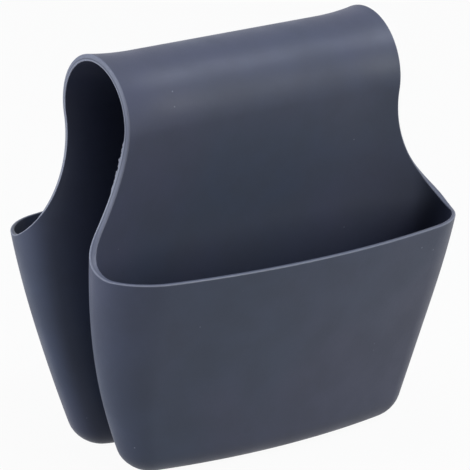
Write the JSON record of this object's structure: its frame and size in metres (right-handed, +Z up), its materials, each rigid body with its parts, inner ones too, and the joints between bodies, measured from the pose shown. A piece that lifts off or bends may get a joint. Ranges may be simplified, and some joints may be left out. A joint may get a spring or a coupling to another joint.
{
  "type": "sink caddy",
  "caption": "Soft rubber saddle caddy: a wide strap arches over a sink divider and carries an open pocket with drain holes on either side.",
  "frame": {"origin": "middle of the underside, level with the floors of both pockets", "axes": "+Z up, +X along the length of the pockets, front pocket towards -Y"},
  "size_m": [0.1904, 0.1366, 0.1918],
  "materials": {
    "rubber": "satin-matte slate navy"
  },
  "bodies": {
    "crown": {"saddle_crown": "rubber"},
    "front_side": {"front_pocket": "rubber"},
    "rear_side": {"rear_pocket": "rubber"}
  },
  "joints": [
    {"name": "front_flex", "type": "hinge", "parent": "crown", "child": "front_side", "pos_m": [0, -0.01983, 0.18363], "axis": [-1, 0, 0], "range_deg": [0, 40], "stiffness_Nm_per_rad": 0.15},
    {"name": "rear_flex", "type": "hinge", "parent": "crown", "child": "rear_side", "pos_m": [0, 0.01983, 0.18363], "axis": [1, 0, 0], "range_deg": [0, 40], "stiffness_Nm_per_rad": 0.15}
  ]
}
